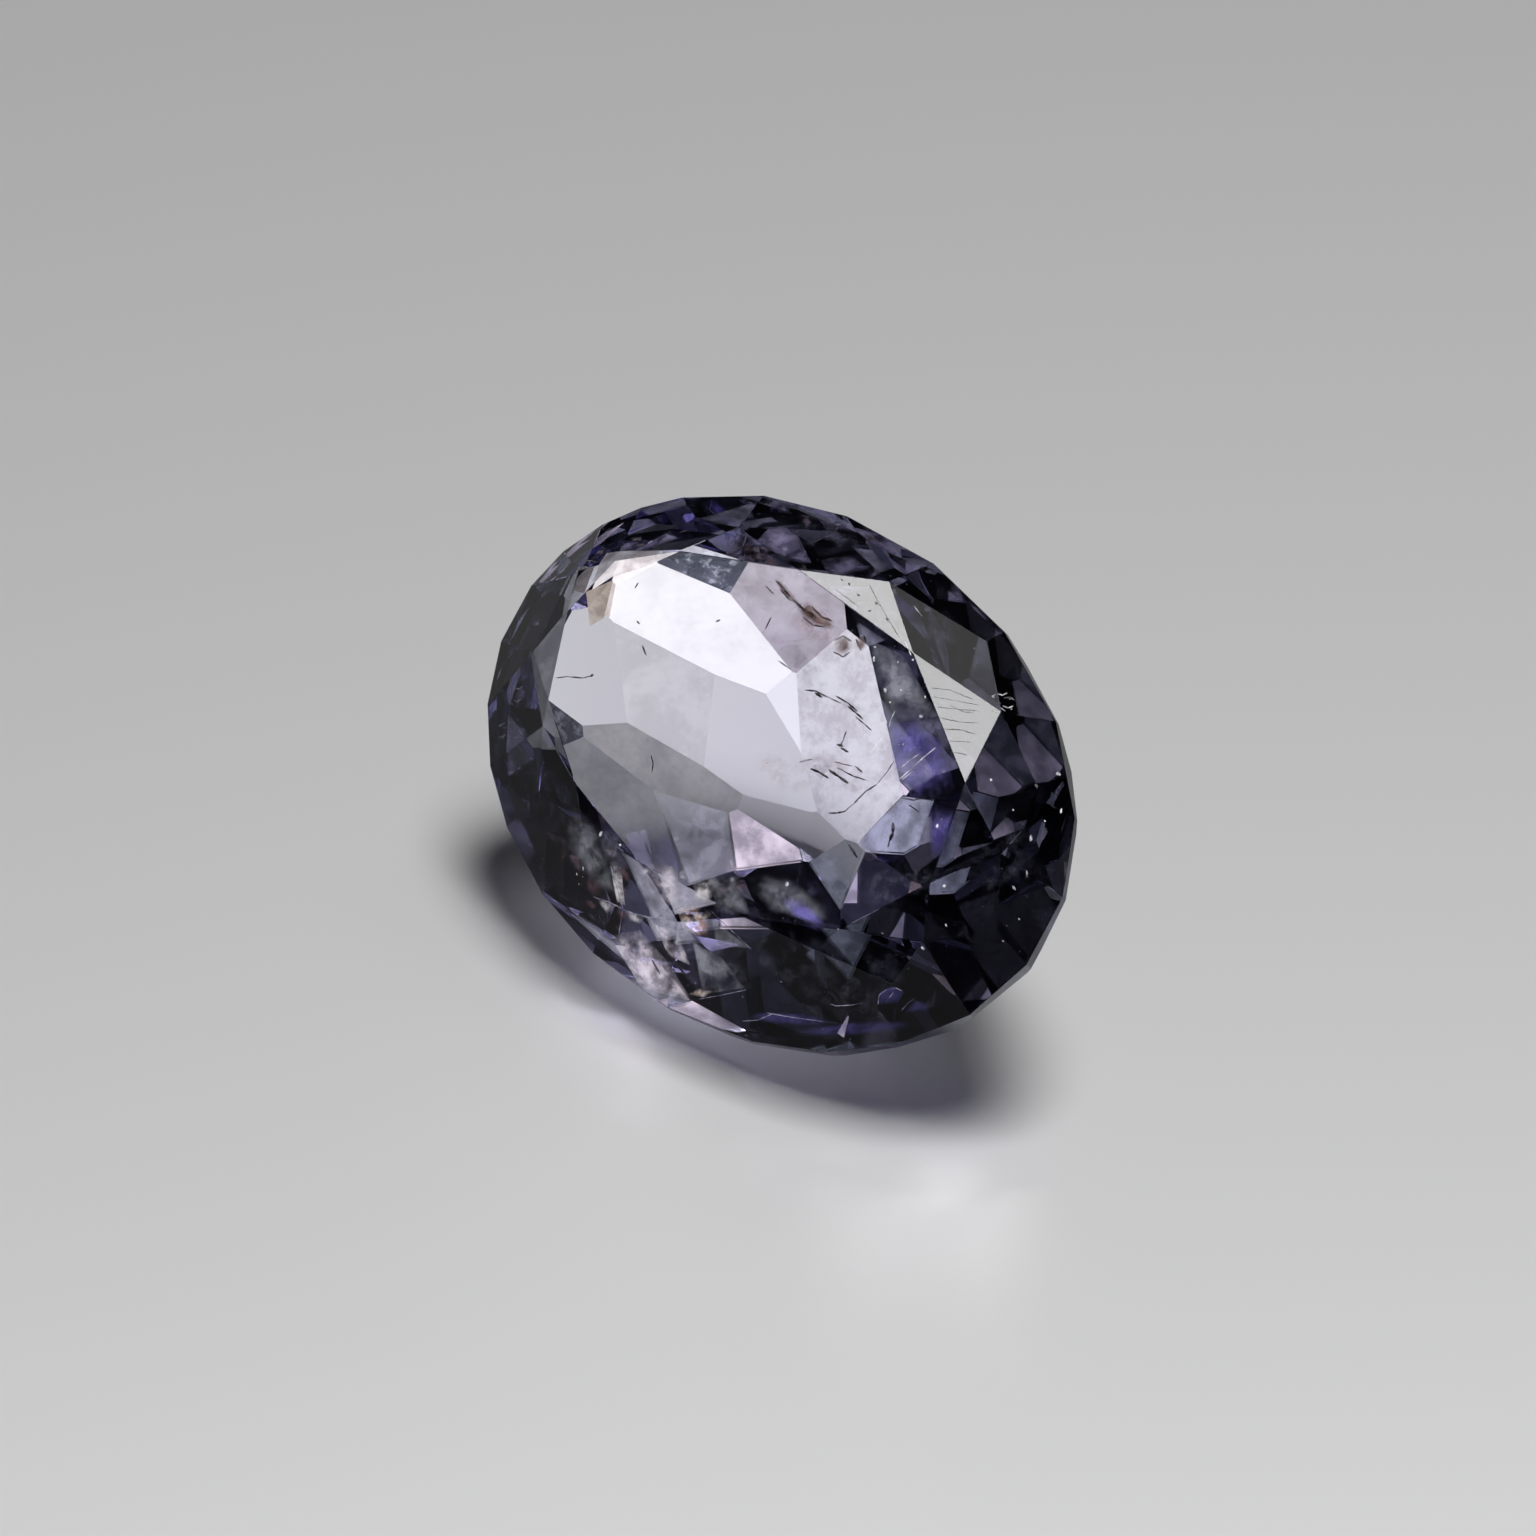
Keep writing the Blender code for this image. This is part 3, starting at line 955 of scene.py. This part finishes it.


# each patch glows with painted light, mottled and frayed at its rim
def makePatchMaterial(name, look):
    material, shader, wire = newGlow(name)
    place = objectPlace(wire)
    cloud = between(noiseOf(place, look["grain"], detail=6.0), *look["edges"])
    uneven = (noiseOf(place, look["grain"] * glowSheetLook["frayGrain"]) - 0.5) * glowSheetLook["frayDepth"]
    frayed = between(markOn(wire, "cover") + uneven, *glowSheetLook["frayEdges"])
    share = between(noiseOf(place, look["grain"] * glowSheetLook["toneGrain"]), *glowSheetLook["toneEdges"])
    tone = mixed(share, opaque(look["color"]), opaque(look["second"]))
    setGlow(shader, tone, glowSheetLook["roughness"], frayed * cloud * look["cover"], look["glow"])
    return material


def addPatch(depth, rim, places):
    # a fan of triangles below the facets, so that its corners show at these places
    bpy.ops.mesh.primitive_circle_add(vertices=len(places), radius=1.0, fill_type="TRIFAN")
    sheet = bpy.context.object
    middle = [sum(numbers) / len(places) for numbers in zip(*places)]
    covers = sheet.data.attributes.new("cover", "FLOAT", "POINT")
    around = iter(places)
    for corner, cover in zip(sheet.data.vertices, covers.data):
        central = corner.co.length < 0.5  # the corners around it are at 1
        cover.value = 1.0 if central else rim
        corner.co = inStone(middle if central else next(around), depth)[0]
    return sheet


def makePatches():
    for look, settings in patchLooks.items():
        sheets = [addPatch(*patch[1:]) for patch in patches if patch[0] == look]
        joined(sheets, look, makePatchMaterial(look, settings))


makePatches()
print("patches made")


# painted light on single pavilion facets: a thin glowing sheet just inside the facet

facetGlows = {  # where it shows, two tones, glow, least and most cover, and the grain and edges of its clouds
    "rosyFacet": {"seenAt": (780, 845), "color": (0.42, 0.38, 0.42), "second": (0.86, 0.76, 0.80),
                  "glow": 1.15, "cover": (0.70, 0.95), "grain": 7.0, "edges": (0.36, 0.62)},
    "greyFacet": {"seenAt": (900, 830), "color": (0.17, 0.18, 0.22), "second": (0.36, 0.37, 0.46),
                  "glow": 1.3, "cover": (0.55, 0.90), "grain": 7.0, "edges": (0.36, 0.62)},
    "slateFacet": {"seenAt": (840, 890), "color": (0.13, 0.15, 0.17), "second": (0.24, 0.26, 0.30),
                   "glow": 0.8, "cover": (0.45, 0.80), "grain": 7.0, "edges": (0.36, 0.62)},
    "smokyFacet": {"seenAt": (700, 845), "color": (0.17, 0.175, 0.20), "second": (0.34, 0.34, 0.38),
                   "glow": 1.1, "cover": (0.20, 0.60), "grain": 6.0, "edges": (0.36, 0.62)},
}


# painted light: a mottled glowing sheet that brightens a facet
def makeFacetGlowMaterial(name, look):
    material, shader, wire = newGlow(name)
    share = between(noiseOf(objectPlace(wire), look["grain"], detail=6.0), *look["edges"])
    tone = mixed(share, opaque(look["color"]), opaque(look["second"]))
    setGlow(shader, tone, glowSheetLook["roughness"], spread(share, *look["cover"]), look["glow"])
    return material


def middleOf(piece):
    corners = piece.data.vertices
    return sum((corner.co for corner in corners), Vector()) / len(corners)


def makeFacetGlow(name, look):
    heading, index = facetBehind(look["seenAt"])
    gap = glowSheetLook["gap"] * millimetre
    sheet = copyNode("stone", name)
    mergeFacets(sheet)
    makeActive(sheet)
    bpy.ops.object.mode_set(mode="EDIT")
    bpy.ops.mesh.select_mode(type="FACE")
    bpy.ops.mesh.select_all(action="SELECT")
    bpy.ops.object.mode_set(mode="OBJECT")
    sheet.data.polygons[index].select = False
    bpy.ops.object.mode_set(mode="EDIT")
    bpy.ops.mesh.delete(type="FACE")
    bpy.ops.mesh.select_all(action="SELECT")
    bpy.ops.mesh.inset(thickness=gap, use_even_offset=True)
    bpy.ops.mesh.select_all(action="INVERT")
    bpy.ops.mesh.delete(type="FACE")
    bpy.ops.object.mode_set(mode="OBJECT")
    outwards = (middleOf(sheet) - middleOf(cutStone)).dot(heading) > 0
    for corner in sheet.data.vertices:
        corner.co += heading * (-gap if outwards else gap)
    finishPiece(sheet, name, makeFacetGlowMaterial(name, look))


for facet, look in facetGlows.items():
    makeFacetGlow(facet, look)
print("clouded facets made")


# floor, light and world

studio = {
    "floorSize": 0.6,  # m
    "floorDrop": 0.03,  # mm, a hair under the stone, so that the two faces don't fight
    "floorColor": (0.86, 0.86, 0.865, 1.0),
    "floorSheen": 0.9,  # share of the floor's light that its satin finish throws
    "floorRoughness": 0.44,
    "worldColor": (0.006, 0.006, 0.007, 1.0),
}

softboxes = {  # the way to each from the stone, its distance and width in m, and its power in W
    "overhead": {"direction": (0.084, 0.222, 0.971), "distance": 0.30, "size": 0.160, "power": 0.68,
                 "color": (1.0, 1.0, 1.0)},
    "fill": {"direction": (0.38, 0.48, 0.79), "distance": 0.32, "size": 0.12, "power": 0.03,
             "color": (1.0, 1.0, 1.0)},
    "leftCard": {"direction": (-0.66, -0.06, 0.75), "distance": 0.32, "size": 0.065, "power": 0.0012,
                 "color": (0.75, 0.74, 1.0)},
    "frontCard": {"direction": (-0.38, -0.50, 0.78), "distance": 0.32, "size": 0.11, "power": 0.005,
                  "color": (0.75, 0.74, 1.0)},
}

lightPaths = {  # the light crosses the stone many times before it gets out
    "max_bounces": 18,
    "glossy_bounces": 14,
    "transmission_bounces": 16,
    "transparent_max_bounces": 16,
}


def makeFloor():
    level = -studio["floorDrop"] * millimetre
    bpy.ops.mesh.primitive_plane_add(size=studio["floorSize"], location=(0, 0, level))
    floor = bpy.context.object
    floor.name = "floor"
    material, shader, wire = newMaterial("paleFloor")
    setSockets(shader, {
        "Base Color": studio["floorColor"],
        "Metallic": studio["floorSheen"],
        "Roughness": studio["floorRoughness"],
    })
    floor.data.materials.append(material)


def addSoftbox(name, box):
    data = bpy.data.lights.new(name, "AREA")
    data.shape = "DISK"
    data.size = box["size"]
    data.energy = box["power"]
    data.color = box["color"]
    lamp = bpy.data.objects.new(name, data)
    bpy.context.scene.collection.objects.link(lamp)
    aim = Vector(box["direction"]).normalized()
    lamp.location = aim * box["distance"]
    lamp.rotation_euler = aim.to_track_quat("Z", "Y").to_euler()


deselectAll()
makeFloor()
for name, box in softboxes.items():
    addSoftbox(name, box)
world = bpy.data.worlds.new("studio")
world.use_nodes = True
world.node_tree.nodes["Background"].inputs[0].default_value = studio["worldColor"]
bpy.context.scene.world = world

for name, bounces in lightPaths.items():
    setattr(bpy.context.scene.cycles, name, bounces)
bpy.context.scene.view_settings.view_transform = "Standard"
print("studio lit")
